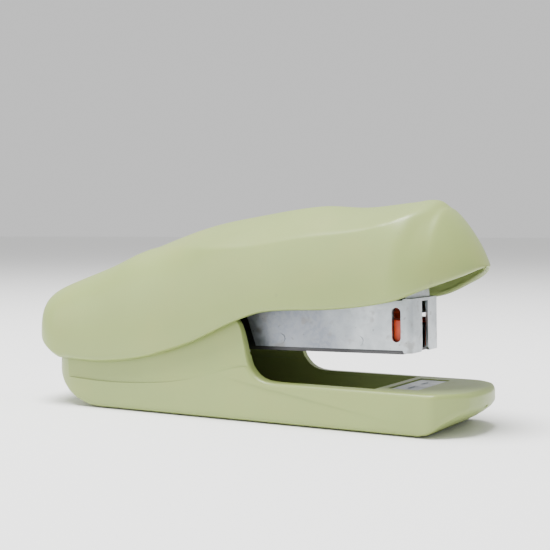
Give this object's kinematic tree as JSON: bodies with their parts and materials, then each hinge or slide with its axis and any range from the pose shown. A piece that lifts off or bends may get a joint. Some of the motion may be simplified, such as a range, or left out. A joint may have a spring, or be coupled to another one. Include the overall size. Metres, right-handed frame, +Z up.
{
  "type": "stapler",
  "caption": "Half-strip desk stapler: crowned plastic cover and base, sprung steel magazine, pusher and driver blade on one hinge pin.",
  "frame": {"origin": "centre of the bounding box in X and Y, on the plane that the feet rest on", "axes": "+X towards the nose along the length, +Y across, with the model symmetric about Y = 0 apart from the pin's head and clip, +Z up"},
  "size_m": [0.12, 0.0326, 0.0507],
  "materials": {
    "sage_plastic": "satin-gloss moulded ABS",
    "plated_steel": "nickel-plated pressed steel",
    "dark_steel": "oiled black steel",
    "spring_steel": "bright drawn wire and strip",
    "turned_brass": "turned brass tube",
    "orange_plastic": "orange-red moulded plastic",
    "black_rubber": "matt rubber"
  },
  "bodies": {
    "base": {"base_shell": "sage_plastic", "sole_plate": "sage_plastic", "rubber_feet": "black_rubber", "sole_screws": "plated_steel", "anvil_plate": "plated_steel", "hinge_bracket": "dark_steel", "bracket_rivets": "plated_steel", "hinge_pin": "plated_steel", "pin_clip": "spring_steel", "return_spring": "spring_steel"},
    "magazine": {"magazine_channel": "dark_steel", "core_rail": "dark_steel", "magazine_sleeve": "plated_steel", "sleeve_rivets": "plated_steel", "rear_stop": "dark_steel", "guide_rod": "plated_steel", "pusher_spring": "spring_steel", "lift_spring": "spring_steel", "hinge_spacer": "turned_brass"},
    "pusher_block": {"pusher": "orange_plastic"},
    "lever": {"pressure_lever": "dark_steel"},
    "handle": {"cover_shell": "sage_plastic", "handle_frame": "plated_steel", "driver_blade": "plated_steel", "driver_rivets": "plated_steel", "frame_screws": "plated_steel"}
  },
  "joints": [
    {"name": "magazine_swing", "type": "hinge", "parent": "base", "child": "magazine", "pos_m": [-0.046, 0, 0.0205], "axis": [0, -1, 0], "range_deg": [-4.7, 0], "stiffness_Nm_per_rad": 0.5, "springref_deg": 22.92, "deforming": ["return_spring"]},
    {"name": "handle_press", "type": "hinge", "parent": "magazine", "child": "lever", "pos_m": [-0.046, 0, 0.0205], "axis": [0, -1, 0], "range_deg": [-5.5, 0], "stiffness_Nm_per_rad": 0.6, "springref_deg": 17.19, "deforming": ["lift_spring"]},
    {"name": "cover_open", "type": "hinge", "parent": "lever", "child": "handle", "pos_m": [-0.046, 0, 0.0205], "axis": [0, -1, 0], "range_deg": [0, 35]},
    {"name": "pusher_slide", "type": "slide", "parent": "magazine", "child": "pusher_block", "axis": [0.9998, 0, 0.0192], "range_m": [-0.038, 0], "stiffness_N_per_m": 40, "springref_m": 0.025, "deforming": ["pusher_spring"]}
  ]
}
